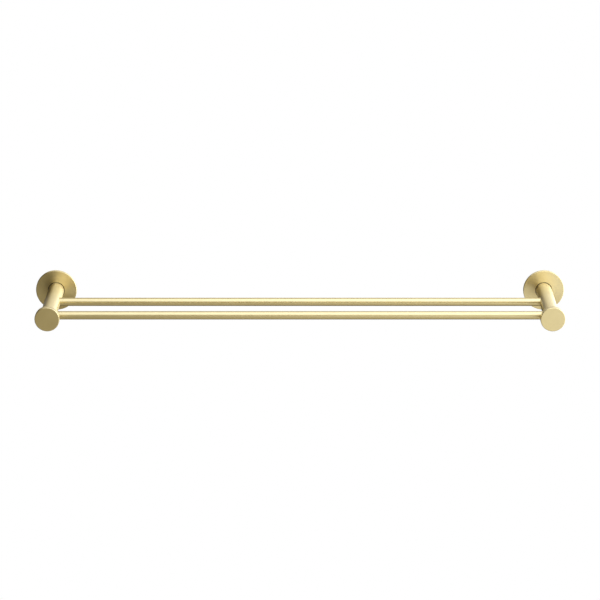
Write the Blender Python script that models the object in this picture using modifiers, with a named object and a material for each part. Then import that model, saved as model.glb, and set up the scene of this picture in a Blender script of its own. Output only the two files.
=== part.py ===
"""Double towel rail in brushed brass: two round posts on wall flanges carry two parallel bars.

Units are metres and +Z is up. X runs along the bars, the wall is the plane y = 0, and the rail
stands out from it towards -Y. The origin is on the wall, midway between the posts and level with
their axes. A turned piece is drawn as a profile of (radius, height) points that runs down its outer
side. Around a post, height is the distance from the wall, and a quarter turn about X lays it over.
"""

import math

import bmesh
import bpy

# Fits. GAP is left between two pieces that touch.
GAP = 0.0003
MERGE = 0.00005

# Overall sizes: post axis to post axis, and wall to the front of the caps.
POST_SPACING = 0.600
PROJECTION = 0.120

# Wall flange: a thin cover that grips the wall plate's rim, with a hole round the post.
FLANGE_DIAMETER = 0.050
FLANGE_DEPTH = 0.0036
FLANGE_WALL = 0.0010
FLANGE_EDGE_RADIUS = 0.0006
FLANGE_HOLE_CLEARANCE = 0.0007
FLANGE_STEPS = 48

# Post.
POST_DIAMETER = 0.0192
POST_CHAMFER = 0.0002
POST_STEPS = 40

# Front cap, with a short threaded spigot that screws into the post.
CAP_DIAMETER = 0.0295
CAP_THICKNESS = 0.0065
CAP_EDGE_RADIUS = 0.0008
CAP_SPIGOT_DIAMETER = 0.012
CAP_SPIGOT_WEB = 0.001
CAP_STEPS = 40

# Bars: open tubes. The front bar's axis lies behind the back of the cap, and the rear bar behind it.
BAR_DIAMETER = 0.010
BAR_WALL = 0.001
BAR_END_CHAMFER = 0.0002
BAR_SPACING = 0.0529
FRONT_BAR_BEHIND_CAP = 0.0104
BAR_PAST_AXIS = 0.0036
BAR_STEPS = 32

# Set screws under the posts: two that hold the bars, and one at the base that holds the post.
SET_SCREW_DIAMETER = 0.004
SET_SCREW_SOCKET = 0.002
SET_SCREW_SOCKET_DEPTH = 0.0012
SET_SCREW_RECESS = 0.0004
SET_SCREW_CHAMFER = 0.0003
SET_SCREW_STEPS = 12

# Wall plate: a disc inside the flange, with a spigot that the post slides over.
PLATE_STEPS = 40
SPIGOT_DIAMETER = 0.012
SPIGOT_END = 0.016
SPIGOT_CHAMFER = 0.0006
SPIGOT_GROOVE_OUT = 0.010
SPIGOT_GROOVE_DEPTH = 0.0017
SPIGOT_GROOVE_FLOOR = 0.001
SPIGOT_BORE_CLEARANCE = 0.0015

# Countersunk wall screws and their plugs, side by side across each plate.
WALL_SCREW_SPACING = 0.030
WALL_SCREW_DIAMETER = 0.0035
WALL_SCREW_HEAD_DIAMETER = 0.007
WALL_SCREW_HEAD_EDGE = 0.0002
WALL_SCREW_LENGTH = 0.030
WALL_SCREW_POINT = 0.005
WALL_SCREW_TIP_DIAMETER = 0.0006
WALL_SCREW_RECESS = 0.0001
CROSS_WIDTH = 0.0010
CROSS_LENGTH = 0.0040
CROSS_DEPTH = 0.0012
PLUG_DIAMETER = 0.006
PLUG_LENGTH = 0.024
PLUG_SETBACK = 0.003
PLUG_TAPER = 0.0006
PLUG_TAPER_LENGTH = 0.004
PLUG_RIB_DEPTH = 0.0003
PLUG_RIB_COUNT = 4
PLUG_RIB_PITCH = 0.0042
PLUG_FIRST_RIB = 0.003
PLUG_SLIT_WIDTH = 0.0009
PLUG_SLIT_LENGTH = 0.014
WALL_SCREW_STEPS = 16

# Sizes that follow from the ones above.
FLANGE_HOLE = POST_DIAMETER + 2 * FLANGE_HOLE_CLEARANCE
FLANGE_INNER_DEPTH = FLANGE_DEPTH - FLANGE_WALL
PLATE_DIAMETER = FLANGE_DIAMETER - 2 * (FLANGE_WALL + GAP)
PLATE_THICKNESS = FLANGE_INNER_DEPTH - GAP
POST_BASE = PLATE_THICKNESS + GAP
CAP_BACK = PROJECTION - CAP_THICKNESS
POST_FRONT = CAP_BACK - GAP
FRONT_BAR_OUT = CAP_BACK - FRONT_BAR_BEHIND_CAP
REAR_BAR_OUT = FRONT_BAR_OUT - BAR_SPACING
BAR_SOCKET_DIAMETER = BAR_DIAMETER + 2 * GAP
BAR_LENGTH = POST_SPACING + 2 * BAR_PAST_AXIS
CAP_SPIGOT_END = FRONT_BAR_OUT + BAR_SOCKET_DIAMETER / 2 + CAP_SPIGOT_WEB + GAP
SPIGOT_HOLE = SPIGOT_DIAMETER + 2 * GAP
SET_SCREW_HOLE = SET_SCREW_DIAMETER + 2 * GAP
WALL_SCREW_TOP = PLATE_THICKNESS - WALL_SCREW_RECESS
WALL_SCREW_TIP = WALL_SCREW_TOP - WALL_SCREW_LENGTH

# Turns that lay a piece's own Z axis along another axis.
OUT_FROM_WALL = (math.pi / 2, 0, 0)
ALONG_X = (0, math.pi / 2, 0)
UPRIGHT = (0, 0, 0)

SIDES = {"left": -1, "right": 1}
DRILL_POINT = math.tan(math.radians(31))
SHARP_ANGLE = math.radians(30)

# Finishes: base colour, metallic, roughness.
FINISHES = {
    "brushed_brass": ((0.60, 0.45, 0.20), 1.0, 0.32),
    "zinc_steel": ((0.55, 0.56, 0.57), 1.0, 0.35),
    "dark_steel": ((0.10, 0.10, 0.11), 1.0, 0.40),
    "grey_nylon": ((0.42, 0.43, 0.44), 0.0, 0.55),
}


def clear_scene():
    """Removes every object, so that the script can run again in the same file."""
    for old in list(bpy.data.objects):
        bpy.data.objects.remove(old)


def new_collection(name):
    """A collection of this name in the scene, empty."""
    old = bpy.data.collections.get(name)
    if old:
        bpy.data.collections.remove(old)
    made = bpy.data.collections.new(name)
    bpy.context.scene.collection.children.link(made)
    return made


def arc(radius_centre, height_centre, radius, start, end, steps=3):
    """Profile points on an arc, from the angle start to end, in degrees from outwards to up."""
    angles = [math.radians(start + (end - start) * i / steps) for i in range(steps + 1)]
    return [
        (radius_centre + radius * math.cos(a), height_centre + radius * math.sin(a)) for a in angles
    ]


def place(made, parent, location, rotation):
    """Puts an object under its parent, at a place and turn of its own."""
    made.parent = parent
    made.location = location
    made.rotation_euler = rotation


def finish(made, kind):
    """Gives an object its own material of one of the FINISHES."""
    colour, metallic, roughness = FINISHES[kind]
    material = bpy.data.materials.new(made.name + "_" + kind)
    material.use_nodes = True
    shader = material.node_tree.nodes["Principled BSDF"]
    shader.inputs["Base Color"].default_value = (*colour, 1)
    shader.inputs["Metallic"].default_value = metallic
    shader.inputs["Roughness"].default_value = roughness
    material.diffuse_color = (*colour, 1)
    made.data.materials.append(material)


def turned(name, profile, steps, closed):
    """An object turned about its Z axis from a profile, which is a ring's section if closed."""
    points = [(radius, 0, height) for radius, height in profile]
    edges = [(i, i + 1) for i in range(len(points) - 1)]
    if closed:
        edges.append((len(points) - 1, 0))
    mesh = bpy.data.meshes.new(name)
    mesh.from_pydata(points, edges, [])
    made = bpy.data.objects.new(name, mesh)
    parts.objects.link(made)
    screw = made.modifiers.new("Turn", "SCREW")
    screw.axis = "Z"
    screw.angle = 2 * math.pi
    screw.steps = steps
    screw.render_steps = steps
    screw.use_merge_vertices = True
    screw.merge_threshold = MERGE
    return made


def cutter(name, shape, parent, location, rotation=UPRIGHT):
    """A hidden cutting object from a bmesh, which is used up."""
    mesh = bpy.data.meshes.new(name)
    shape.to_mesh(mesh)
    shape.free()
    made = bpy.data.objects.new(name, mesh)
    cutters.objects.link(made)
    made.hide_render = True
    made.display_type = "WIRE"
    place(made, parent, location, rotation)
    return made


def drill(name, diameter, length, parent, location, rotation=UPRIGHT, segments=24):
    """A round cutter, or a hexagonal one with 6 segments, centred on its location."""
    shape = bmesh.new()
    bmesh.ops.create_cone(
        shape,
        cap_ends=True,
        segments=segments,
        radius1=diameter / 2,
        radius2=diameter / 2,
        depth=length,
    )
    return cutter(name, shape, parent, location, rotation)


def block(name, size, parent, location):
    """A box cutter, centred on its location."""
    shape = bmesh.new()
    bmesh.ops.create_cube(shape, size=1)
    bmesh.ops.scale(shape, vec=size, verts=shape.verts)
    return cutter(name, shape, parent, location)


def countersink(name, top, parent, location):
    """The hole of a countersunk screw: a sink of 90 degrees above a straight hole, up to top."""
    head = WALL_SCREW_HEAD_DIAMETER / 2 + GAP
    shank = WALL_SCREW_DIAMETER / 2 + GAP
    edge = WALL_SCREW_TOP - WALL_SCREW_HEAD_EDGE
    shape = bmesh.new()
    profile = [(head, top), (head, edge), (shank, edge - (head - shank)), (shank, -top)]
    rings = []
    for radius, height in profile:
        ring = bmesh.ops.create_circle(shape, segments=WALL_SCREW_STEPS, radius=radius)["verts"]
        bmesh.ops.translate(shape, vec=(0, 0, height), verts=ring)
        rings.append(ring)
    for upper, lower in zip(rings, rings[1:]):
        for i in range(WALL_SCREW_STEPS):
            j = (i + 1) % WALL_SCREW_STEPS
            shape.faces.new((upper[i], lower[i], lower[j], upper[j]))
    shape.faces.new(rings[0])
    shape.faces.new(rings[-1][::-1])
    bmesh.ops.recalc_face_normals(shape, faces=shape.faces)
    return cutter(name, shape, parent, location, OUT_FROM_WALL)


def cut(made, *tools):
    """Cuts an object with each tool, exactly."""
    for tool in tools:
        boolean = made.modifiers.new("Cut " + tool.name, "BOOLEAN")
        boolean.operation = "DIFFERENCE"
        boolean.solver = "EXACT"
        boolean.object = tool


def settle(made):
    """Turns an object's modifiers into its mesh, smooth on round faces and sharp at edges."""
    bpy.context.view_layer.update()
    evaluated = made.evaluated_get(bpy.context.evaluated_depsgraph_get())
    mesh = bpy.data.meshes.new_from_object(evaluated)
    mesh.name = made.name
    made.modifiers.clear()
    made.data = mesh
    mesh.shade_smooth()
    mesh.set_sharp_from_angle(angle=SHARP_ANGLE)


def wall_plate(side, parent):
    """A steel disc on the wall, with a grooved spigot and two countersunk holes."""
    rim = PLATE_DIAMETER / 2
    outer = SPIGOT_DIAMETER / 2
    root = outer - SPIGOT_GROOVE_DEPTH
    half_floor = SPIGOT_GROOVE_FLOOR / 2
    half_mouth = half_floor + SPIGOT_GROOVE_DEPTH
    profile = [
        (0, SPIGOT_END),
        (outer - SPIGOT_CHAMFER, SPIGOT_END),
        (outer, SPIGOT_END - SPIGOT_CHAMFER),
        (outer, SPIGOT_GROOVE_OUT + half_mouth),
        (root, SPIGOT_GROOVE_OUT + half_floor),
        (root, SPIGOT_GROOVE_OUT - half_floor),
        (outer, SPIGOT_GROOVE_OUT - half_mouth),
        (outer, PLATE_THICKNESS),
        (rim, PLATE_THICKNESS),
        (rim, 0),
        (0, 0),
    ]
    made = turned(side + "_wall_plate", profile, PLATE_STEPS, closed=False)
    place(made, parent, (0, 0, 0), OUT_FROM_WALL)
    for name, offset in wall_screw_places():
        tool = countersink(f"{made.name}_{name}_hole", 2 * PLATE_THICKNESS, parent, (offset, 0, 0))
        cut(made, tool)
    settle(made)
    finish(made, "dark_steel")


def wall_screw_places():
    """The two wall screws of a plate, by name, and their places along X from the post's axis."""
    return (("west", -WALL_SCREW_SPACING / 2), ("east", WALL_SCREW_SPACING / 2))


def wall_screw(side, name, offset, parent):
    """A countersunk screw through the wall plate, with a cross recess."""
    head = WALL_SCREW_HEAD_DIAMETER / 2
    shank = WALL_SCREW_DIAMETER / 2
    edge = WALL_SCREW_TOP - WALL_SCREW_HEAD_EDGE
    tip = WALL_SCREW_TIP_DIAMETER / 2
    profile = [
        (0, WALL_SCREW_TOP),
        (head, WALL_SCREW_TOP),
        (head, edge),
        (shank, edge - (head - shank)),
        (shank, WALL_SCREW_TIP + WALL_SCREW_POINT),
        (tip, WALL_SCREW_TIP),
        (0, WALL_SCREW_TIP),
    ]
    made = turned(f"{side}_wall_screw_{name}", profile, WALL_SCREW_STEPS, closed=False)
    place(made, parent, (offset, 0, 0), OUT_FROM_WALL)
    recess = (offset, -WALL_SCREW_TOP, 0)
    across = block(made.name + "_slot_x", (CROSS_LENGTH, 2 * CROSS_DEPTH, CROSS_WIDTH), parent, recess)
    upright = block(made.name + "_slot_z", (CROSS_WIDTH, 2 * CROSS_DEPTH, CROSS_LENGTH), parent, recess)
    cut(made, across, upright)
    settle(made)
    finish(made, "zinc_steel")


def wall_plug(side, name, offset, parent):
    """A nylon plug in the wall around the screw, ribbed outside and slit from its far end."""
    outer = PLUG_DIAMETER / 2
    bore = WALL_SCREW_DIAMETER / 2 + GAP
    mouth = -PLUG_SETBACK
    end = mouth - PLUG_LENGTH
    profile = [(bore, mouth), (outer, mouth)]
    for i in range(PLUG_RIB_COUNT):
        crest = mouth - PLUG_FIRST_RIB - i * PLUG_RIB_PITCH
        profile += [(outer, crest), (outer - PLUG_RIB_DEPTH, crest - PLUG_RIB_DEPTH)]
        profile.append((outer, crest - PLUG_RIB_PITCH / 2))
    profile += [(outer, end + PLUG_TAPER_LENGTH), (outer - PLUG_TAPER, end), (bore, end)]
    made = turned(f"{side}_wall_plug_{name}", profile, WALL_SCREW_STEPS, closed=True)
    place(made, parent, (offset, 0, 0), OUT_FROM_WALL)
    slit = (PLUG_SLIT_WIDTH, 2 * PLUG_SLIT_LENGTH, 2 * PLUG_DIAMETER)
    cut(made, block(made.name + "_slit", slit, parent, (offset, -end, 0)))
    settle(made)
    finish(made, "grey_nylon")


def flange(side, parent):
    """The cover over the wall plate, open in the middle for the post."""
    outer = FLANGE_DIAMETER / 2
    inner = outer - FLANGE_WALL
    hole = FLANGE_HOLE / 2
    edge = FLANGE_EDGE_RADIUS
    profile = [(hole, FLANGE_DEPTH)]
    profile += arc(outer - edge, FLANGE_DEPTH - edge, edge, 90, 0)
    profile += [(outer, 0), (inner, 0), (inner, FLANGE_INNER_DEPTH), (hole, FLANGE_INNER_DEPTH)]
    made = turned(side + "_flange", profile, FLANGE_STEPS, closed=True)
    place(made, parent, (0, 0, 0), OUT_FROM_WALL)
    settle(made)
    finish(made, "brushed_brass")


def set_screw(name, out, tip, cone, parent):
    """An upright set screw under a post.

    It runs from its tip, a cone of this height, down to the hex socket just inside the post.
    """
    radius = SET_SCREW_DIAMETER / 2
    bottom = SET_SCREW_RECESS - POST_DIAMETER / 2
    profile = [
        (0, tip),
        (radius - cone, tip),
        (radius, tip - cone),
        (radius, bottom + SET_SCREW_CHAMFER),
        (radius - SET_SCREW_CHAMFER, bottom),
        (0, bottom),
    ]
    made = turned(name, profile, SET_SCREW_STEPS, closed=False)
    place(made, parent, (0, -out, 0), UPRIGHT)
    across_corners = SET_SCREW_SOCKET / math.cos(math.pi / 6)
    depth = 2 * SET_SCREW_SOCKET_DEPTH
    cut(made, drill(name + "_socket", across_corners, depth, parent, (0, -out, bottom), segments=6))
    settle(made)
    finish(made, "dark_steel")


def set_screws(side, parent):
    """The three set screws of a post: one points into the spigot's groove, two meet the bars."""
    cone = SET_SCREW_DIAMETER / 2 - GAP
    groove_tip = cone - SPIGOT_DIAMETER / 2 - GAP
    bar_tip = -BAR_DIAMETER / 2 - GAP
    set_screw(side + "_post_set_screw", SPIGOT_GROOVE_OUT, groove_tip, cone, parent)
    set_screw(side + "_rear_bar_set_screw", REAR_BAR_OUT, bar_tip, SET_SCREW_CHAMFER, parent)
    set_screw(side + "_front_bar_set_screw", FRONT_BAR_OUT, bar_tip, SET_SCREW_CHAMFER, parent)


def post(side, parent):
    """A solid round post, bored at both ends, with two blind sockets on its inner side."""
    outer = POST_DIAMETER / 2
    chamfer = POST_CHAMFER
    cap_bore = CAP_SPIGOT_DIAMETER / 2 + GAP
    bore = SPIGOT_HOLE / 2
    bore_end = SPIGOT_END + SPIGOT_BORE_CLEARANCE
    profile = [
        (0, CAP_SPIGOT_END - GAP),
        (cap_bore, CAP_SPIGOT_END - GAP),
        (cap_bore, POST_FRONT),
        (outer - chamfer, POST_FRONT),
        (outer, POST_FRONT - chamfer),
        (outer, POST_BASE + chamfer),
        (outer - chamfer, POST_BASE),
        (bore, POST_BASE),
        (bore, bore_end),
        (0, bore_end + bore * DRILL_POINT),
    ]
    made = turned(side + "_post", profile, POST_STEPS, closed=False)
    place(made, parent, (0, 0, 0), OUT_FROM_WALL)
    inwards = -SIDES[side]
    past = BAR_PAST_AXIS + GAP
    length = past + POST_DIAMETER
    middle = inwards * (length / 2 - past)
    for bar, out in (("rear", REAR_BAR_OUT), ("front", FRONT_BAR_OUT)):
        name = f"{made.name}_{bar}_socket"
        where = (middle, -out, 0)
        cut(made, drill(name, BAR_SOCKET_DIAMETER, length, parent, where, ALONG_X, BAR_STEPS))
    for out in (SPIGOT_GROOVE_OUT, REAR_BAR_OUT, FRONT_BAR_OUT):
        below = (0, -out, -POST_DIAMETER / 2)
        cut(made, drill(made.name + "_set_screw_hole", SET_SCREW_HOLE, POST_DIAMETER, parent, below))
    settle(made)
    finish(made, "brushed_brass")


def front_cap(side, parent):
    """The disc on the front of the post, with its threaded spigot behind."""
    outer = CAP_DIAMETER / 2
    edge = CAP_EDGE_RADIUS
    spigot = CAP_SPIGOT_DIAMETER / 2
    profile = [(0, PROJECTION)]
    profile += arc(outer - edge, PROJECTION - edge, edge, 90, 0)
    profile += arc(outer - edge / 2, CAP_BACK + edge / 2, edge / 2, 0, -90, 2)
    profile += [(spigot, CAP_BACK), (spigot, CAP_SPIGOT_END), (0, CAP_SPIGOT_END)]
    made = turned(side + "_front_cap", profile, CAP_STEPS, closed=False)
    place(made, parent, (0, 0, 0), OUT_FROM_WALL)
    settle(made)
    finish(made, "brushed_brass")


def towel_bar(name, out, parent):
    """An open tube from post to post, laid along X at a distance out from the wall."""
    outer = BAR_DIAMETER / 2
    inner = outer - BAR_WALL
    chamfer = BAR_END_CHAMFER
    end = BAR_LENGTH / 2
    profile = [
        (inner, end),
        (outer - chamfer, end),
        (outer, end - chamfer),
        (outer, chamfer - end),
        (outer - chamfer, -end),
        (inner, -end),
    ]
    made = turned(name, profile, BAR_STEPS, closed=True)
    place(made, parent, (0, -out, 0), ALONG_X)
    settle(made)
    finish(made, "brushed_brass")


def empty(name, parent, location):
    """An empty that carries a group of pieces."""
    made = bpy.data.objects.new(name, None)
    parts.objects.link(made)
    place(made, parent, location, UPRIGHT)
    return made


clear_scene()
parts = new_collection("towel_rack")
cutters = new_collection("cutters")
whole = empty("towel_rack", None, (0, 0, 0))
for side_name, direction in SIDES.items():
    group = empty(side_name + "_side", whole, (direction * POST_SPACING / 2, 0, 0))
    wall_plate(side_name, group)
    for screw_name, screw_offset in wall_screw_places():
        wall_screw(side_name, screw_name, screw_offset, group)
        wall_plug(side_name, screw_name, screw_offset, group)
    flange(side_name, group)
    post(side_name, group)
    set_screws(side_name, group)
    front_cap(side_name, group)
towel_bar("rear_bar", REAR_BAR_OUT, whole)
towel_bar("front_bar", FRONT_BAR_OUT, whole)
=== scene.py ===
# %% [markdown]
# # A double towel rail in brushed brass
# Two round posts stand out from a wall on round flanges and carry two parallel bars. The packed
# model gives every size and place, and this script gives each piece its fine surface, its finish,
# the light and the camera. Every surface here is a grid of points worked out with numpy: a profile
# that turns about an axis, with a formula where the piece isn't quite round.

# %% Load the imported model
import math

import bpy
import numpy as np
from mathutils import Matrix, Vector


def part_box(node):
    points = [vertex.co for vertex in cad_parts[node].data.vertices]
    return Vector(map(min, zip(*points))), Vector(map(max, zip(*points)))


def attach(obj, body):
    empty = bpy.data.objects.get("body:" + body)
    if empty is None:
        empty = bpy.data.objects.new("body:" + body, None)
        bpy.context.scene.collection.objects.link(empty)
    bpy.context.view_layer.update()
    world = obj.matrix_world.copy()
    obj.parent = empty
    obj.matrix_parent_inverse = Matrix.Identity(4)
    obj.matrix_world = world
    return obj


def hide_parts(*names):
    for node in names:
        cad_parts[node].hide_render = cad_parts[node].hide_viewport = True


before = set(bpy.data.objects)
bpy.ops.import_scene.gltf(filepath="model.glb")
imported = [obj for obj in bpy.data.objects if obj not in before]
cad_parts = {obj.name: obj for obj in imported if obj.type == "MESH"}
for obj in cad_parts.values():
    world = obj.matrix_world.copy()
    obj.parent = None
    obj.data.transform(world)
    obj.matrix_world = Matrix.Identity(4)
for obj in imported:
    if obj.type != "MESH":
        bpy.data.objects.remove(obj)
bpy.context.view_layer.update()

SIDES = ("left", "right")
print("nodes in the model:", len(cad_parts))


def size_of(node):
    """How far a node reaches along X, Y and Z."""
    low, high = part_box(node)
    return high - low


def middle_of(node):
    """The middle of a node's box."""
    low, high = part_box(node)
    return (low + high) / 2


# %% [markdown]
# ## The camera
# A long lens from a little above looks straight at the middle of the bars, so that the two posts
# splay slightly outwards. A shorter lens would splay them more, and a lower camera would hide the
# rear bar behind the front one.

# %% Camera
CAMERA_AIM = (0.0, -0.060, 0.00545)
CAMERA_DISTANCE = 2.896
CAMERA_HEIGHT_ANGLE = math.radians(17.60)
CAMERA_LENS = 143.83
SENSOR_WIDTH = 36


def add_camera():
    """A camera at the distance and angle above from the aim point, level from side to side."""
    data = bpy.data.cameras.new("camera")
    data.lens = CAMERA_LENS
    data.sensor_width = SENSOR_WIDTH
    made = bpy.data.objects.new("camera", data)
    bpy.context.scene.collection.objects.link(made)
    aim_x, aim_y, aim_z = CAMERA_AIM
    out = CAMERA_DISTANCE * math.cos(CAMERA_HEIGHT_ANGLE)
    rise = CAMERA_DISTANCE * math.sin(CAMERA_HEIGHT_ANGLE)
    made.location = (aim_x, aim_y - out, aim_z + rise)
    made.rotation_euler = (math.pi / 2 - CAMERA_HEIGHT_ANGLE, 0, 0)
    bpy.context.scene.camera = made
    return made


add_camera()
bpy.context.scene.view_settings.view_transform = "Standard"
print("camera:", CAMERA_LENS, "mm lens at", CAMERA_DISTANCE, "m")

# %% [markdown]
# ## Profiles
# A turned piece starts as a profile, the line that its outside follows from one end to the other.
# A lathe leaves no knife edges, so each corner of the profile is an arc. Two extra points beside
# each arc keep the smooth shading of the arc off the flat faces. A Bevel modifier would round the
# corners too, but here the formula shows what a fillet is.

# %% Profiles with round corners
ARC_STEPS = 5
HEM = 0.00012


def unit(vector):
    """A vector of length one in the same direction."""
    return vector / np.linalg.norm(vector)


def fillet(before, corner, after, radius):
    """Points on the arc that rounds a corner.

    The arc touches both lines at a distance of radius / tan(half angle) from the corner. Its centre
    lies on the line that halves the angle, at radius / sin(half angle). The points turn evenly from
    one touching point to the other about that centre.
    """
    towards, onwards = unit(before - corner), unit(after - corner)
    half = math.acos(np.clip(towards @ onwards, -1, 1)) / 2
    reach = radius / math.tan(half)
    centre = corner + unit(towards + onwards) * radius / math.sin(half)
    start, end = corner + towards * reach - centre, corner + onwards * reach - centre
    turn = math.pi - 2 * half
    share = np.linspace(0, 1, ARC_STEPS + 1)[:, None]
    blend = (np.sin((1 - share) * turn) * start + np.sin(share * turn) * end) / math.sin(turn)
    arc = centre + blend
    hem = min(HEM, radius)
    return np.vstack([arc[0] + towards * hem, arc, arc[-1] + onwards * hem])


def rounded(corners, closed=False):
    """A profile of (radius, height) points from corners of (radius, height, fillet radius).

    A corner whose fillet radius is 0 stays a point.
    """
    spots = np.array([corner[:2] for corner in corners], float)
    count = len(corners)
    pieces = []
    for i, (_, _, radius) in enumerate(corners):
        inside = closed or 0 < i < count - 1
        if radius and inside:
            pieces.append(fillet(spots[i - 1], spots[i], spots[(i + 1) % count], radius))
        else:
            pieces.append(spots[i][None])
    return np.vstack(pieces)


sample = rounded([(0, 1, 0), (1, 1, 0.2), (1, 0, 0)])
print("a corner of a profile becomes", len(sample), "points")

# %% [markdown]
# ## From a profile to a surface
# The surface is a function of two parameters: the place along the profile and the angle about the
# axis. Row i of the grid is point i of the profile, carried round at `steps` angles. Spinning a
# wire would give the same points for a plain round piece, but in a grid of numbers the radius may
# also differ with the angle, as it does in a thread.

# %% Carried round an axis
ALONG_Y = "out from the wall"
ALONG_X = "along the bars"
UPRIGHT = "upright"


def angles(steps):
    """Evenly spaced angles over a full turn."""
    return np.arange(steps) * 2 * np.pi / steps


def carried_round(radii, heights, axis, centre):
    """Points of a grid of radii and heights about an axis through centre.

    Out from the wall: (r cos a, -h, r sin a). Along the bars: (h, r cos a, r sin a). Upright:
    (r cos a, r sin a, h). In each the surface faces outwards when the profile runs from the high
    end to the low one.
    """
    turn = angles(radii.shape[1])[None, :]
    across, up = radii * np.cos(turn), radii * np.sin(turn)
    placed = {
        ALONG_Y: (across, -heights, up),
        ALONG_X: (heights, across, up),
        UPRIGHT: (across, up, heights),
    }[axis]
    return np.stack(placed, axis=-1) + np.array(centre, float)


ring = carried_round(np.ones((1, 4)), np.zeros((1, 4)), UPRIGHT, (0, 0, 0))
print("a row of four points carried upright:", ring.round(3).tolist())

# %% [markdown]
# ## From a surface to a mesh
# Each point of the grid is joined to its neighbours in the same row and the next, which gives
# quads. A row of radius zero is a pole: its points become one, and the quads beside it triangles.
# The whole grid goes into the mesh at once.

# %% Grid of points to mesh
POLE_SIZE = 1e-9


def grid_faces(rows, columns, closed):
    """Quads between the rows of a grid, which wraps round in its columns.

    With i the row and j the column, a face joins points (i, j), (i + 1, j), (i + 1, j + 1) and
    (i, j + 1). A closed grid wraps round in its rows too.
    """
    last = rows if closed else rows - 1
    i, j = np.meshgrid(np.arange(last), np.arange(columns), indexing="ij")
    here, next_row = i * columns, (i + 1) % rows * columns
    ahead = (j + 1) % columns
    return np.stack([here + j, next_row + j, next_row + ahead, here + ahead], -1).reshape(-1, 4)


def mesh_from_grid(name, points, closed):
    """A smooth mesh from a grid of points. Rows that have shrunk to a point become one pole."""
    rows, columns, _ = points.shape
    quads = grid_faces(rows, columns, closed)
    which = np.arange(rows * columns)
    for row in (0, rows - 1):
        if not closed and np.ptp(points[row], axis=0).max() < POLE_SIZE:
            which[row * columns : (row + 1) * columns] = row * columns
    quads = which[quads]
    used, inverse = np.unique(quads, return_inverse=True)
    quads = inverse.reshape(-1, 4)
    faces = [tuple(dict.fromkeys(face)) for face in quads.tolist()]
    mesh = bpy.data.meshes.new(name)
    mesh.from_pydata(points.reshape(-1, 3)[used], [], faces)
    mesh.validate()
    mesh.shade_smooth()
    return mesh


print("a grid of 3 rows and 8 columns has", len(grid_faces(3, 8, closed=False)), "faces")

# %% [markdown]
# ## From a mesh to a finished piece
# Smooth shading hides the facets of a round piece, but an edge sharper than 35 degrees has to stay
# crisp, so it is marked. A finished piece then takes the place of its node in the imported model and
# rides on the one body, because nothing on this rail moves.

# %% Finished pieces
SHARP = math.radians(35)


def piece(name, points, closed=False):
    """A new object from a grid of points, with its sharp edges marked."""
    mesh = mesh_from_grid(name, points, closed)
    mesh.set_sharp_from_angle(angle=SHARP)
    made = bpy.data.objects.new(name, mesh)
    bpy.context.scene.collection.objects.link(made)
    return made


def turned(name, profile, axis, centre, steps, closed=False):
    """A round piece: the profile carried about its axis without change."""
    radii = np.repeat(profile[:, :1], steps, axis=1)
    heights = np.repeat(profile[:, 1:], steps, axis=1)
    return piece(name, carried_round(radii, heights, axis, centre), closed)


def stands_for(made, node, material):
    """The finished piece takes a node's place and its material."""
    made.data.materials.clear()
    made.data.materials.append(material)
    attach(made, "root")
    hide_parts(node)
    print(f"{made.name}: {len(made.data.polygons)} faces")


print("edges sharper than", round(math.degrees(SHARP)), "degrees stay crisp")

# %% [markdown]
# ## Threads and sockets
# A thread is a ridge that climbs by one pitch for each turn, so its depth depends on the height and
# the angle together. A hexagon socket or a cross recess depends on the angle alone. Both are easy
# on a grid, where the radius may differ at every point.

# %% Threads and sockets
SCREW_STEPS = 48
THREAD_ROWS = 10
NEARLY_ZERO = 1e-6


def hexagon(flats, steps=SCREW_STEPS):
    """Radius at each angle of a hexagon with this size across its flats.

    Within each sixth of a turn it is half the flats divided by the cosine of the angle from the
    middle of that side.
    """
    sixth = np.pi / 3
    return flats / 2 / np.cos(angles(steps) % sixth - sixth / 2)


def cross(length, width, steps=SCREW_STEPS):
    """Radius at each angle of a cross: the farther of two bars that lie at right angles.

    A ray leaves a bar at half its length over the cosine, or half its width over the sine,
    whichever comes first. NEARLY_ZERO keeps both divisions finite.
    """
    along = np.maximum(np.abs(np.cos(angles(steps))), NEARLY_ZERO)
    across = np.maximum(np.abs(np.sin(angles(steps))), NEARLY_ZERO)
    level = np.minimum(length / 2 / along, width / 2 / across)
    upright = np.minimum(width / 2 / along, length / 2 / across)
    return np.maximum(level, upright)


def rows_of(rows, steps=SCREW_STEPS):
    """Radii and heights of a grid from rows of (radius or radii, height)."""
    radii = np.stack([np.broadcast_to(radius, steps) for radius, _ in rows])
    heights = np.stack([np.full(steps, height) for _, height in rows])
    return radii, heights


def threaded(profile, pitch, depth, crest, steps=SCREW_STEPS):
    """Radii and heights of a threaded stretch, whose crests follow the profile.

    With phase = height / pitch + turns, the ridge is how near the phase is to a whole number. The
    radius drops from the crest by depth over the flank, and crest sets how narrow the ridge is. The
    thread fades in and out over one pitch at the ends.
    """
    high, low = profile[0, 1], profile[-1, 1]
    count = int(round((high - low) / pitch * THREAD_ROWS)) + 1
    height = np.linspace(high, low, count)
    radius = np.interp(-height, -profile[:, 1], profile[:, 0])
    phase = height[:, None] / pitch + angles(steps)[None, :] / (2 * np.pi)
    from_crest = np.abs(phase - np.round(phase)) * 2
    valley = np.clip(from_crest * crest, 0, 1)
    fade = np.clip(np.minimum(high - height, height - low) / pitch, 0, 1)
    radii = radius[:, None] - np.minimum(depth * valley * fade[:, None], radius[:, None] / 2)
    return radii, np.repeat(height[:, None], steps, axis=1)


def stacked(*parts):
    """Grids one after another down the same piece."""
    return tuple(np.vstack(side) for side in zip(*parts))


print("a hexagon of 4 mm across flats is", round(hexagon(4.0).max() * 2, 2), "mm across corners")

# %% [markdown]
# ## Holes
# A hole that crosses a piece breaks its grid, so a Boolean modifier cuts it with a closed tool of
# the drill's shape. A cut leaves long thin faces on a long plain wall, which shade badly, so such
# a wall is first split into even steps.

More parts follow.
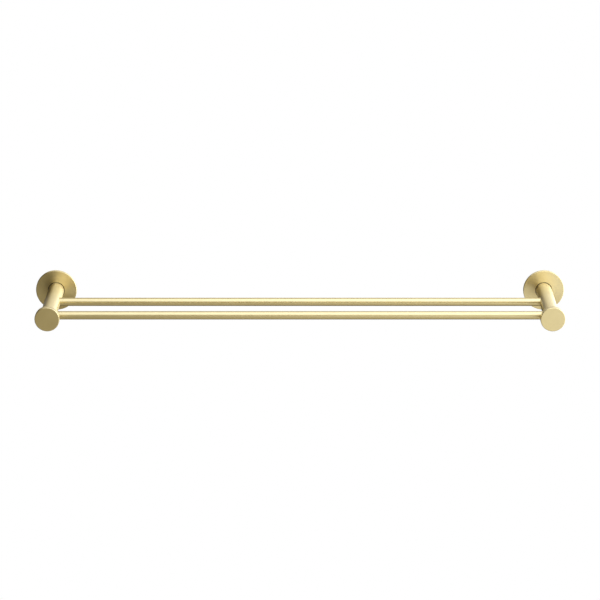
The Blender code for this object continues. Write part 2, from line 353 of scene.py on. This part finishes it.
# %% Holes
GAP = 0.0003
STEPS = 96
DRILL_STEPS = 64


def drill(name, radius, high, low, axis, centre):
    """A closed round tool for a cut, from high to low."""
    profile = np.array([(0, high), (radius, high), (radius, low), (0, low)])
    return turned(name, profile, axis, centre, DRILL_STEPS)


def carve(made, *tools, solver="EXACT"):
    """Cuts closed tools out of a piece with Boolean modifiers, and then removes the tools."""
    for tool in tools:
        boolean = made.modifiers.new(tool.name, "BOOLEAN")
        boolean.object = tool
        boolean.solver = solver
    bpy.context.view_layer.update()
    evaluated = made.evaluated_get(bpy.context.evaluated_depsgraph_get())
    mesh = bpy.data.meshes.new_from_object(evaluated)
    made.modifiers.clear()
    made.data = mesh
    for tool in tools:
        bpy.data.objects.remove(tool)
    mesh.shade_smooth()
    mesh.set_sharp_from_angle(angle=SHARP)


def in_steps(profile, longest):
    """The same profile with its long straight runs split into even steps."""
    spans = np.linalg.norm(np.diff(profile, axis=0), axis=1)
    parts = np.maximum(np.ceil(spans / longest), 1).astype(int)
    whole = np.concatenate([[0], np.cumsum(parts)])
    where = np.arange(whole[-1] + 1)
    return np.stack([np.interp(where, whole, profile[:, k]) for k in (0, 1)], axis=1)


wall = np.array([(1.0, 10.0), (1.0, 0.0)])
print("a wall of 10 in steps of at most 3 has", len(in_steps(wall, 3.0)), "points")

# %% [markdown]
# ## Small helpers for materials
# A material here is a tree of nodes that reads the place of each point on the piece. Writing each
# node out takes many lines, so one helper adds a node, sets it up and joins its inputs.

# %% Material helpers
CLOUD_DETAIL = 2.0


def new_material(name):
    """A new material and its node tree, with only a Principled shader and the output."""
    material = bpy.data.materials.new(name)
    material.use_nodes = True
    return material, material.node_tree


def add(tree, kind, *inputs, **settings):
    """Adds a node. Inputs are sockets to join or values to set, in order, and None skips one."""
    made = tree.nodes.new(kind)
    for key, value in settings.items():
        setattr(made, key, value)
    for place, value in enumerate(inputs):
        if isinstance(value, bpy.types.NodeSocket):
            tree.links.new(value, made.inputs[place])
        elif value is not None:
            made.inputs[place].default_value = value
    return made


def math_node(tree, operation, *inputs):
    """The result of a Math node."""
    return add(tree, "ShaderNodeMath", *inputs, operation=operation).outputs[0]


def vector_node(tree, operation, *inputs):
    """The vector result of a Vector Math node."""
    return add(tree, "ShaderNodeVectorMath", *inputs, operation=operation).outputs[0]


def spread(tree, value, low, high):
    """Takes a value from the range 0 to 1 to the range low to high."""
    return add(tree, "ShaderNodeMapRange", value, 0.0, 1.0, low, high).outputs[0]


def tones(tree, value, dark, light):
    """A colour between two tones, by a value from 0 to 1."""
    ramp = add(tree, "ShaderNodeValToRGB", value)
    ramp.color_ramp.elements[0].color = (*dark, 1)
    ramp.color_ramp.elements[1].color = (*light, 1)
    return ramp.outputs[0]


def roughen(tree, shader, height, strength, depth):
    """Tilts the shader's normal as if the surface rose and fell with height, by up to depth."""
    bump = add(tree, "ShaderNodeBump")
    bump.inputs["Strength"].default_value = strength
    bump.inputs["Distance"].default_value = depth
    tree.links.new(height, bump.inputs["Height"])
    tree.links.new(bump.outputs[0], shader.inputs["Normal"])


print("materials so far:", len(bpy.data.materials))

# %% [markdown]
# ## Brushed brass
# Each brass piece is brushed on a lathe: a fine abrasive leaves thousands of grooves that run round
# the axis. A groove scatters light across itself and hardly along itself, so a flat disc shows
# bright fans that run out from its middle. A texture of straight scratches would need unwrapping,
# and it would run the wrong way on a disc. So the finish works out the direction of the grooves at
# each point: the cross product of the axis with the arm from the axis to the point. The shader's
# anisotropy is turned by a quarter from it. The grooves themselves are noise that changes fast
# outwards and along the axis, and slowly round it.

# %% Brushed brass
BRASS_DARK = (0.70, 0.555, 0.235)
BRASS_LIGHT = (0.82, 0.665, 0.30)
BRUSH_ROUGHNESS = (0.33, 0.46)
BRUSH_ANISOTROPY = 0.88
QUARTER_TURN = 0.25
LACQUER = 0.6
LACQUER_ROUGHNESS = 0.2
GROOVES_PER_METRE = 5200.0
GROOVE_ARCS = 2.2
GROOVE_DETAIL = 3.0
GROOVE_DEPTH = 0.000012
GROOVE_STRENGTH = 0.35
CLOUDS_PER_METRE = 130.0
CLOUD_SHARE = 0.35


def brushed_brass(name, axis, centre, anisotropy=BRUSH_ANISOTROPY):
    """Lacquered brass, brushed round an axis that passes through centre."""
    material, tree = new_material(name)
    shader = tree.nodes["Principled BSDF"]
    place = add(tree, "ShaderNodeTexCoord").outputs["Object"]
    shift = tuple(-value for value in centre)
    local = add(tree, "ShaderNodeMapping", place, shift).outputs[0]
    line = (1.0, 0.0, 0.0) if axis == ALONG_X else (0.0, 1.0, 0.0)
    across = tuple(1 - value for value in line)
    arm = vector_node(tree, "MULTIPLY", local, across)
    along = vector_node(tree, "MULTIPLY", local, line)
    radius = add(tree, "ShaderNodeVectorMath", arm, operation="LENGTH").outputs["Value"]
    outwards = vector_node(tree, "NORMALIZE", arm)
    groove = vector_node(tree, "CROSS_PRODUCT", line, outwards)

    fine_along = add(tree, "ShaderNodeVectorMath", along, operation="SCALE")
    fine_along.inputs["Scale"].default_value = GROOVES_PER_METRE
    slow_round = add(tree, "ShaderNodeVectorMath", outwards, operation="SCALE")
    slow_round.inputs["Scale"].default_value = GROOVE_ARCS
    spot = vector_node(tree, "ADD", fine_along.outputs[0], slow_round.outputs[0])
    fine_radius = math_node(tree, "MULTIPLY", radius, GROOVES_PER_METRE)
    lines = add(tree, "ShaderNodeTexNoise", noise_dimensions="4D")
    tree.links.new(spot, lines.inputs["Vector"])
    tree.links.new(fine_radius, lines.inputs["W"])
    lines.inputs["Scale"].default_value = 1.0
    lines.inputs["Detail"].default_value = GROOVE_DETAIL
    lines = lines.outputs[0]
    clouds = add(tree, "ShaderNodeTexNoise", local, None, CLOUDS_PER_METRE, CLOUD_DETAIL).outputs[0]

    line_part = math_node(tree, "MULTIPLY", lines, 1 - CLOUD_SHARE)
    mixed = math_node(tree, "MULTIPLY_ADD", clouds, CLOUD_SHARE, line_part)
    tree.links.new(tones(tree, mixed, BRASS_DARK, BRASS_LIGHT), shader.inputs["Base Color"])
    tree.links.new(spread(tree, lines, *BRUSH_ROUGHNESS), shader.inputs["Roughness"])
    roughen(tree, shader, lines, GROOVE_STRENGTH, GROOVE_DEPTH)
    tree.links.new(groove, shader.inputs["Tangent"])
    shader.inputs["Metallic"].default_value = 1.0
    shader.inputs["Anisotropic"].default_value = anisotropy
    shader.inputs["Anisotropic Rotation"].default_value = QUARTER_TURN
    shader.inputs["Coat Weight"].default_value = LACQUER
    shader.inputs["Coat Roughness"].default_value = LACQUER_ROUGHNESS
    return material


print("grooves about", round(1000 / GROOVES_PER_METRE, 2), "mm apart")

# %% [markdown]
# ## Steel and nylon
# The small parts behind the brass have plain finishes. Zinc plating is bright and slightly cloudy.
# Black oxide is a thin dark layer on steel. Moulded nylon is matt. All three are a fine noise for
# the grain and a coarse one for the clouds, and only the numbers differ.

# %% Plain finishes
PLAIN_FINISHES = {
    "zinc_steel": dict(
        dark=(0.56, 0.57, 0.60),
        light=(0.74, 0.74, 0.73),
        roughness=(0.24, 0.40),
        metallic=1.0,
        grain=3000.0,
        depth=0.000006,
    ),
    "dark_steel": dict(
        dark=(0.035, 0.036, 0.040),
        light=(0.095, 0.092, 0.090),
        roughness=(0.32, 0.50),
        metallic=0.9,
        grain=4200.0,
        depth=0.000008,
    ),
    "grey_nylon": dict(
        dark=(0.30, 0.31, 0.33),
        light=(0.37, 0.38, 0.39),
        roughness=(0.45, 0.62),
        metallic=0.0,
        grain=2600.0,
        depth=0.000015,
    ),
}
CLOUD_SIZE = 9.0
GRAIN_SHARE = 0.5
GRAIN_DETAIL = 4.0
GRAIN_STRENGTH = 0.3


def plain_finish(name, slot):
    """The material of a steel or nylon piece, from the numbers of its slot."""
    look = PLAIN_FINISHES[slot]
    material, tree = new_material(name)
    shader = tree.nodes["Principled BSDF"]
    place = add(tree, "ShaderNodeTexCoord").outputs["Object"]
    fine = add(tree, "ShaderNodeTexNoise", place, None, look["grain"], GRAIN_DETAIL).outputs[0]
    coarse = look["grain"] / CLOUD_SIZE
    clouds = add(tree, "ShaderNodeTexNoise", place, None, coarse, CLOUD_DETAIL).outputs[0]
    cloud_part = math_node(tree, "MULTIPLY", clouds, 1 - GRAIN_SHARE)
    mixed = math_node(tree, "MULTIPLY_ADD", fine, GRAIN_SHARE, cloud_part)
    tree.links.new(tones(tree, mixed, look["dark"], look["light"]), shader.inputs["Base Color"])
    tree.links.new(spread(tree, clouds, *look["roughness"]), shader.inputs["Roughness"])
    roughen(tree, shader, fine, GRAIN_STRENGTH, look["depth"])
    shader.inputs["Metallic"].default_value = look["metallic"]
    return material


print("plain finishes:", ", ".join(PLAIN_FINISHES))

# %% [markdown]
# ## The wall flanges
# A flange is a thin round cover that grips the rim of the plate on the wall and hides it. Its hole
# is 0.7 mm wider all round than the post, which leaves a dark ring at the post's foot. An open
# surface with a Solidify modifier would have a wall too, but the same edge everywhere. Here the
# profile goes round the cover's front, rim and inside and closes on itself, so the wall is real and
# each corner has its own fillet.

# %% Flanges
FLANGE_WALL = 0.0010
FLANGE_EDGE = 0.0006
FLANGE_HOLE_CLEARANCE = 0.0007
SMALL_EDGE = 0.0002

for side in SIDES:
    node = side + "_flange"
    low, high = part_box(node)
    x = middle_of(node).x
    outer, depth = (high.x - low.x) / 2, -low.y
    inner, floor = outer - FLANGE_WALL, depth - FLANGE_WALL
    hole = size_of(side + "_post").x / 2 + FLANGE_HOLE_CLEARANCE
    corners = [
        (hole, depth, SMALL_EDGE),
        (outer, depth, FLANGE_EDGE),
        (outer, 0, SMALL_EDGE),
        (inner, 0, SMALL_EDGE),
        (inner, floor, SMALL_EDGE),
        (hole, floor, SMALL_EDGE),
    ]
    profile = rounded(corners, closed=True)
    cup = turned(node + "_cup", profile, ALONG_Y, (x, 0, 0), 2 * STEPS, closed=True)
    stands_for(cup, node, brushed_brass(node + "_brass", ALONG_Y, (x, 0, 0)))

# %% [markdown]
# ## The posts
# Each post is a solid round bar that stands on the wall plate. It is bored at the foot for the
# plate's spigot and at the front for the cap. A blind socket is drilled across it for each towel
# bar, and three tapped holes from below take the set screws on the spigot and on the two bars. The
# sockets are 0.3 mm wider all round than the bars, so a hairline of shadow marks each joint. A
# cylinder with every hole cut out of it would do, but the two bores share the post's axis, so they
# are part of the profile, and only the holes across it are cut.

# %% Posts
POST_EDGE = 0.00015
BORE_RADIUS = 0.0063
BORE_CLEARANCE = 0.0015
DRILL_POINT = 0.0038
TAPPED_HOLE = 0.0023
POST_ROW = 0.002

for side in SIDES:
    node = side + "_post"
    low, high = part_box(node)
    x = middle_of(node).x
    outer, front, base = (high.x - low.x) / 2, -low.y, -high.y
    cap_end = -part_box(side + "_front_cap")[1].y - GAP
    bore_end = -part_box(side + "_wall_plate")[0].y + BORE_CLEARANCE
    corners = [
        (0, cap_end, 0),
        (BORE_RADIUS, cap_end, SMALL_EDGE),
        (BORE_RADIUS, front, POST_EDGE),
        (outer, front, POST_EDGE),
        (outer, base, POST_EDGE),
        (BORE_RADIUS, base, POST_EDGE),
        (BORE_RADIUS, bore_end, POST_EDGE),
        (0, bore_end + DRILL_POINT, 0),
    ]
    body = turned(node + "_body", in_steps(rounded(corners), POST_ROW), ALONG_Y, (x, 0, 0), STEPS)
    tools = []
    for held in ("post", "rear_bar", "front_bar"):
        y = middle_of(f"{side}_{held}_set_screw").y
        tools.append(drill(held + "_tapping", TAPPED_HOLE, 0, -2 * outer, UPRIGHT, (x, y, 0)))
    for bar in ("rear_bar", "front_bar"):
        reach_low, reach_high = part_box(bar)
        y, wide = middle_of(bar).y, (reach_high.z - reach_low.z) / 2 + GAP
        ends = (reach_low.x - GAP, 0) if x < 0 else (0, reach_high.x + GAP)
        tools.append(drill(bar + "_socket", wide, max(ends), min(ends), ALONG_X, (0, y, 0)))
    carve(body, *tools)
    stands_for(body, node, brushed_brass(node + "_brass", ALONG_Y, (x, 0, 0)))

# %% [markdown]
# ## The front caps
# A cap is a thick disc, wider than the post, with a short threaded spigot behind. Its front is
# satin, evenly bright, so its grooves scatter light almost the same in every direction. Bump in the
# material could suggest the thread, but real ridges also stand in the mesh, and on a grid they cost
# only a few more rows.

# %% Front caps
CAP_ANISOTROPY = 0.2
CAP_EDGE = 0.0007
CAP_BACK_EDGE = 0.0004
SPIGOT_RADIUS = 0.006
SPIGOT_PITCH = 0.001
SPIGOT_THREAD = 0.0005

for side in SIDES:
    node = side + "_front_cap"
    low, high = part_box(node)
    x = middle_of(node).x
    outer, front, end = (high.x - low.x) / 2, -low.y, -high.y
    back = -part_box(side + "_post")[0].y + GAP
    corners = [
        (0, front, 0),
        (outer, front, CAP_EDGE),
        (outer, back, CAP_BACK_EDGE),
        (SPIGOT_RADIUS, back, 0),
    ]
    thread = np.array([(SPIGOT_RADIUS, back - SMALL_EDGE), (SPIGOT_RADIUS, end + SMALL_EDGE)])
    tip = [(SPIGOT_RADIUS - SMALL_EDGE, end), (0, end)]
    grid = stacked(
        rows_of(rounded(corners), STEPS),
        threaded(thread, SPIGOT_PITCH, SPIGOT_THREAD, 1, STEPS),
        rows_of(tip, STEPS),
    )
    cap = piece(node + "_disc", carried_round(*grid, ALONG_Y, (x, 0, 0)))
    brass = brushed_brass(node + "_brass", ALONG_Y, (x, 0, 0), CAP_ANISOTROPY)
    stands_for(cap, node, brass)

# %% [markdown]
# ## The towel bars
# The bars are drawn tubes with open ends that hide in the posts. A curve with a round bevel would
# give the same outside, but not the wall, so the profile goes round both.

# %% Towel bars
BAR_WALL = 0.001
BAR_ROW = 0.012

for node in ("rear_bar", "front_bar"):
    low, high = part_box(node)
    y, outer = middle_of(node).y, (high.z - low.z) / 2
    inner = outer - BAR_WALL
    ends = [(inner, high.x), (outer, high.x), (outer, low.x), (inner, low.x)]
    corners = [(radius, height, SMALL_EDGE) for radius, height in ends]
    profile = in_steps(rounded(corners, closed=True), BAR_ROW)
    tube = turned(node + "_tube", profile, ALONG_X, (0, y, 0), STEPS, closed=True)
    stands_for(tube, node, brushed_brass(node + "_brass", ALONG_X, (0, y, 0)))

# %% [markdown]
# ## The wall plates
# Under each flange a steel disc is screwed to the wall. Its spigot carries the post, and the point
# of a set screw in the spigot's V groove pulls the post in against the disc. The groove runs round
# the axis, so it is four more corners of the profile and not a cut. The two countersunk holes
# cross the disc away from the axis, so a closed tool of the shape of a screw's head cuts each one.

# %% Wall plates
SPIGOT_CHAMFER = 0.0006
V_DEPTH = 0.0017
V_FLOOR = 0.001
HEAD_EDGE = 0.0002
HEAD_RECESS = 0.0001
SHANK_RADIUS = 0.00175

for side in SIDES:
    node = side + "_wall_plate"
    low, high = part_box(node)
    x = middle_of(node).x
    rim, end = (high.x - low.x) / 2, -low.y
    face = -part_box(side + "_flange")[0].y - FLANGE_WALL - GAP
    groove = -middle_of(side + "_post_set_screw").y
    corners = [
        (0, end, 0),
        (SPIGOT_RADIUS - SPIGOT_CHAMFER, end, SMALL_EDGE),
        (SPIGOT_RADIUS, end - SPIGOT_CHAMFER, SMALL_EDGE),
        (SPIGOT_RADIUS, groove + V_FLOOR / 2 + V_DEPTH, POST_EDGE),
        (SPIGOT_RADIUS - V_DEPTH, groove + V_FLOOR / 2, POST_EDGE),
        (SPIGOT_RADIUS - V_DEPTH, groove - V_FLOOR / 2, POST_EDGE),
        (SPIGOT_RADIUS, groove - V_FLOOR / 2 - V_DEPTH, POST_EDGE),
        (SPIGOT_RADIUS, face, SMALL_EDGE),
        (rim, face, SMALL_EDGE),
        (rim, 0, SMALL_EDGE),
        (0, 0, 0),
    ]
    disc = turned(node + "_disc", rounded(corners), ALONG_Y, (x, 0, 0), STEPS)
    tools = []
    for way in ("west", "east"):
        screw_low, screw_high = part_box(f"{side}_wall_screw_{way}")
        head = (screw_high.x - screw_low.x) / 2 + GAP
        shank, edge = SHANK_RADIUS + GAP, face - HEAD_RECESS - HEAD_EDGE
        sink = [(0, 2 * face), (head, 2 * face), (head, edge), (shank, edge - head + shank)]
        sink += [(shank, -face), (0, -face)]
        place = (middle_of(f"{side}_wall_screw_{way}").x, 0, 0)
        tools.append(turned(way + "_sink", np.array(sink), ALONG_Y, place, SCREW_STEPS))
    carve(disc, *tools)
    stands_for(disc, node, plain_finish(node + "_oxide", "dark_steel"))

# %% [markdown]
# ## The wall screws
# Each countersunk screw holds a plate to the wall. A helix laid round a cylinder would have to be
# joined to it, and the recess cut into it. Instead the screw is a single grid from the floor of its
# cross recess, up the recess's walls, over the head and down the thread to the tip. The ridge of a
# wood screw is narrow, with a wide valley between its turns.

# %% Wall screws
CROSS_LENGTH = 0.0040
CROSS_WIDTH = 0.0010
CROSS_DEPTH = 0.0014
CROSS_FLOOR = 0.55
WOOD_PITCH = 0.0016
WOOD_THREAD = 0.0005
WOOD_CREST = 2.2
POINT_LENGTH = 0.005
TIP_RADIUS = 0.0003
FINE_EDGE = 0.00005

for side in SIDES:
    for way in ("west", "east"):
        node = f"{side}_wall_screw_{way}"
        low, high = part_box(node)
        head, top, tip = (high.x - low.x) / 2, -low.y, -high.y
        recess = cross(CROSS_LENGTH, CROSS_WIDTH)
        under = top - HEAD_EDGE - (head - SHANK_RADIUS)
        corners = [
            (CROSS_LENGTH / 2 + SMALL_EDGE / 2, top, 0),
            (head, top, FINE_EDGE),
            (head, top - HEAD_EDGE, FINE_EDGE),
            (SHANK_RADIUS, under, 0),
        ]
        thread = np.array(
            [
                (SHANK_RADIUS, under - SMALL_EDGE),
                (SHANK_RADIUS, tip + POINT_LENGTH),
                (TIP_RADIUS, tip + SMALL_EDGE),
            ]
        )
        socket = [(0, top - CROSS_DEPTH), (recess * CROSS_FLOOR, top - CROSS_DEPTH), (recess, top)]
        grid = stacked(
            rows_of(socket),
            rows_of(rounded(corners)),
            threaded(thread, WOOD_PITCH, WOOD_THREAD, WOOD_CREST),
            rows_of([(0, tip)]),
        )
        screw = piece(node + "_thread", carried_round(*grid, ALONG_Y, (middle_of(node).x, 0, 0)))
        stands_for(screw, node, plain_finish(node + "_zinc", "zinc_steel"))

# %% [markdown]
# ## The wall plugs
# A plug is a nylon sleeve in the wall with saw-tooth ribs that point outwards, so that it goes in
# easily and comes out hard. A slit from its far end lets it spread as the screw goes in. The fast
# Boolean solver cuts the slit, because the exact one leaves nothing of this ribbed ring.

# %% Wall plugs
PLUG_BORE = 0.00205
RIB_COUNT = 4
RIB_PITCH = 0.0042
FIRST_RIB = 0.003
RIB_DEPTH = 0.0003
PLUG_TAPER = 0.0006
TAPER_LENGTH = 0.004
SLIT_WIDTH = 0.0009
SLIT_LENGTH = 0.014


def slab(name, size, centre):
    """A closed box tool with this size about its centre."""
    ends = np.array([(-1, -1, -1), (1, -1, -1), (1, 1, -1), (-1, 1, -1)], float)
    points = np.vstack([ends, ends * (1, 1, -1)]) * np.array(size) / 2 + np.array(centre)
    sides = [(i, (i + 1) % 4, (i + 1) % 4 + 4, i + 4) for i in range(4)]
    mesh = bpy.data.meshes.new(name)
    mesh.from_pydata(points, [], [(3, 2, 1, 0), (4, 5, 6, 7)] + sides)
    made = bpy.data.objects.new(name, mesh)
    bpy.context.scene.collection.objects.link(made)
    return made


for side in SIDES:
    for way in ("west", "east"):
        node = f"{side}_wall_plug_{way}"
        low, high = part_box(node)
        x, mouth, end = middle_of(node).x, -low.y, -high.y
        outer = (high.x - low.x) / 2
        corners = [(PLUG_BORE, mouth, POST_EDGE), (outer, mouth, POST_EDGE)]
        for i in range(RIB_COUNT):
            crest = mouth - FIRST_RIB - i * RIB_PITCH
            corners += [(outer, crest, FINE_EDGE), (outer - RIB_DEPTH, crest - RIB_DEPTH, 0)]
            corners.append((outer, crest - RIB_PITCH / 2, 0))
        corners += [(outer, end + TAPER_LENGTH, 0), (outer - PLUG_TAPER, end, POST_EDGE)]
        corners.append((PLUG_BORE, end, POST_EDGE))
        profile = rounded(corners, closed=True)
        sleeve = turned(node + "_sleeve", profile, ALONG_Y, (x, 0, 0), SCREW_STEPS, closed=True)
        slit = slab("slit", (SLIT_WIDTH, 2 * SLIT_LENGTH, 4 * outer), (x, -end, 0))
        carve(sleeve, slit, solver="FAST")
        stands_for(sleeve, node, plain_finish(node + "_nylon", "grey_nylon"))

# %% [markdown]
# ## The set screws
# Three M4 set screws enter each post from below. One ends in a cone for the spigot's groove, and
# the two that hold the bars are nearly flat. The hexagon socket could be cut out of a threaded rod.
# But the grid can follow it: down the thread to the mouth of the socket, then inwards and back up,
# so the screw needs no cut.

# %% Set screws
SET_PITCH = 0.0007
SET_THREAD = 0.00035
SET_CHAMFER = 0.0003
SOCKET_FLATS = 0.002
SOCKET_DEPTH = 0.0012
SOCKET_POINT = 0.0004
CONE_HEIGHT = {"post": 0.0017, "rear_bar": 0.0003, "front_bar": 0.0003}

for side in SIDES:
    for held, cone in CONE_HEIGHT.items():
        node = f"{side}_{held}_set_screw"
        low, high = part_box(node)
        x, y, _ = middle_of(node)
        radius, top, bottom = (high.x - low.x) / 2, high.z, low.z
        crown = [(0, top), (radius - cone, top), (radius - SMALL_EDGE, top - cone + SMALL_EDGE)]
        thread = np.array([(radius, top - cone), (radius, bottom + SET_CHAMFER)])
        mouth = [
            (radius - SET_CHAMFER, bottom),
            (hexagon(SOCKET_FLATS), bottom),
            (hexagon(SOCKET_FLATS), bottom + SOCKET_DEPTH),
            (0, bottom + SOCKET_DEPTH + SOCKET_POINT),
        ]
        grid = stacked(rows_of(crown), threaded(thread, SET_PITCH, SET_THREAD, 1), rows_of(mouth))
        screw = piece(node + "_thread", carried_round(*grid, UPRIGHT, (x, y, 0)))
        stands_for(screw, node, plain_finish(node + "_oxide", "dark_steel"))

# %% [markdown]
# ## The light tent
# Brushed metal shows its surroundings, so the light here is a tent: a sphere about the rail whose
# inside glows. Area lamps could light the rail too, but the metal would show each lamp's edge,
# and a glow that is worked out changes smoothly. The camera can't see the tent. Its glow follows
# from the direction from the rail, as x to the right, y away from the front and z up, each from
# -1 to 1. It grows as a power of the way from left to right, which makes the left of each post
# dark and its right bright. Low down behind, the tent is dark, and low down at the right it is
# dimmer, so the bars' undersides stay even. A light box at the far right edges the posts. Where a
# pair of numbers follows a name, a change goes smoothly from nothing at the first number to whole
# at the second.

# %% Glow from the sides
SIDE_GLOW = 1.57
SIDE_POWER = 1.1
LEFT_FADE = (-0.95, -0.25)
BEHIND_REACH = (-0.10, 0.50)
UNDER_REACH = (-0.05, -0.40)
UNDER_DIM = 0.20
LOW_REACH = (-0.35, -0.75)
LOW_RIGHT = (-0.05, 0.30)
LOW_DIM = 0.50
BOX_GLOW = 2.3
BOX_ACROSS = (0.40, 0.95)
BOX_OUT = (-0.70, 0.10)


def smooth(tree, value, start, end, low=0.0, high=1.0):
    """Goes smoothly from low to high as the value goes from start to end."""
    made = add(tree, "ShaderNodeMapRange", value, start, end, low, high)
    made.interpolation_type = "SMOOTHSTEP"
    return made.outputs[0]


def both(tree, first, second):
    """The product of two values, which is whole only where both are."""
    return math_node(tree, "MULTIPLY", first, second)


def side_glow(tree, x, y, z):
    """With s the way across from 0 to 1: SIDE_GLOW s ^ SIDE_POWER, dimmed, plus the light box."""
    across = add(tree, "ShaderNodeMapRange", x, -1.0, 1.0).outputs[0]
    glow = both(tree, math_node(tree, "POWER", across, SIDE_POWER), SIDE_GLOW)
    glow = both(tree, glow, smooth(tree, x, *LEFT_FADE))
    low_behind = both(tree, smooth(tree, y, *BEHIND_REACH), smooth(tree, z, *UNDER_REACH))
    glow = both(tree, glow, spread(tree, low_behind, 1.0, UNDER_DIM))
    low_right = both(tree, smooth(tree, z, *LOW_REACH), smooth(tree, x, *LOW_RIGHT))
    glow = both(tree, glow, spread(tree, low_right, 1.0, LOW_DIM))
    box = both(tree, smooth(tree, x, *BOX_ACROSS, 0.0, BOX_GLOW), smooth(tree, y, *BOX_OUT))
    return math_node(tree, "ADD", glow, box)


print("glow at the middle:", round(SIDE_GLOW * 0.5**SIDE_POWER, 2))

# %% [markdown]
# ## The lamp and the tent
# A long soft lamp overhead and in front draws the line along each bar and the fans on the flanges.
# Dim light is slightly warm and strong light slightly cool. The tent stands near in front and far
# behind, so that the two front caps reflect different parts of it and the two posts almost the
# same.

# %% Lamp and tent
TENT_RADIUS = 3.0
TENT_MIDDLE = (0.0, 2.0, 0.0)
TENT_SEGMENTS = 64
TENT_RINGS = 32
LAMP_GLOW = 1.17
LAMP_MIDDLE = 0.02
LAMP_FADE = (0.85, 0.30)
LAMP_FRONT = (math.radians(17), math.radians(40))
LAMP_BACK = (math.radians(122), math.radians(95))
WARM = (1.0, 0.89, 0.58)
COOL = (0.96, 1.06, 1.40)
COOL_AT = 1.5


def lamp_glow(tree, x, y, z):
    """A band between two angles above the front, which fades out to both sides of its middle."""
    above = math_node(tree, "ARCTAN2", z, both(tree, y, -1.0))
    from_middle = math_node(tree, "ABSOLUTE", math_node(tree, "SUBTRACT", x, LAMP_MIDDLE))
    glow = smooth(tree, from_middle, *LAMP_FADE, 0.0, LAMP_GLOW)
    glow = both(tree, glow, smooth(tree, above, *LAMP_FRONT))
    return both(tree, glow, smooth(tree, above, *LAMP_BACK))


def add_tent():
    """A sphere about the rail, which only reflections and light can see, with all of the glow."""
    bpy.ops.mesh.primitive_uv_sphere_add(
        segments=TENT_SEGMENTS, ring_count=TENT_RINGS, radius=TENT_RADIUS, location=TENT_MIDDLE
    )
    tent = bpy.context.object
    tent.name = "light_tent"
    tent.visible_camera = False
    tent.visible_shadow = False
    material, tree = new_material("tent_glow")
    tree.nodes.remove(tree.nodes["Principled BSDF"])
    place = add(tree, "ShaderNodeNewGeometry").outputs["Position"]
    direction = vector_node(tree, "NORMALIZE", place)
    x, y, z = add(tree, "ShaderNodeSeparateXYZ", direction).outputs
    glow = math_node(tree, "ADD", side_glow(tree, x, y, z), lamp_glow(tree, x, y, z))
    colour = tones(tree, math_node(tree, "DIVIDE", glow, COOL_AT), WARM, COOL)
    light = add(tree, "ShaderNodeEmission", colour, glow)
    tree.links.new(light.outputs[0], tree.nodes["Material Output"].inputs[0])
    tent.data.materials.append(material)
    return tent


tent = add_tent()
print("tent:", len(tent.data.polygons), "faces,", TENT_RADIUS, "m in radius")

# %% [markdown]
# ## The floor
# The floor is a wide plain surface far below the rail. It glows evenly, so it stays white
# whatever the tent does, and the brass doesn't mirror it. Past its edge the world is pale too.

# %% Floor and world
FLOOR_HEIGHT = -0.80
FLOOR_REACH = 30.0
FLOOR_GLOW = 1.0
WORLD_GLOW = 0.8


def add_floor():
    """A wide white floor below the rail, which glows evenly and which the brass doesn't mirror."""
    bpy.ops.mesh.primitive_plane_add(size=2 * FLOOR_REACH, location=(0, 0, FLOOR_HEIGHT))
    floor = bpy.context.object
    floor.name = "floor"
    floor.visible_glossy = False
    material, tree = new_material("pale_floor")
    shader = tree.nodes["Principled BSDF"]
    shader.inputs["Base Color"].default_value = (0, 0, 0, 1)
    shader.inputs["Specular IOR Level"].default_value = 0.0
    shader.inputs["Emission Color"].default_value = (1, 1, 1, 1)
    shader.inputs["Emission Strength"].default_value = FLOOR_GLOW
    floor.data.materials.append(material)


add_floor()

world = bpy.data.worlds.new("studio")
world.use_nodes = True
world.node_tree.nodes["Background"].inputs["Color"].default_value = (1, 1, 1, 1)
world.node_tree.nodes["Background"].inputs["Strength"].default_value = WORLD_GLOW
bpy.context.scene.world = world
print("floor at", FLOOR_HEIGHT, "m, world glow", WORLD_GLOW)
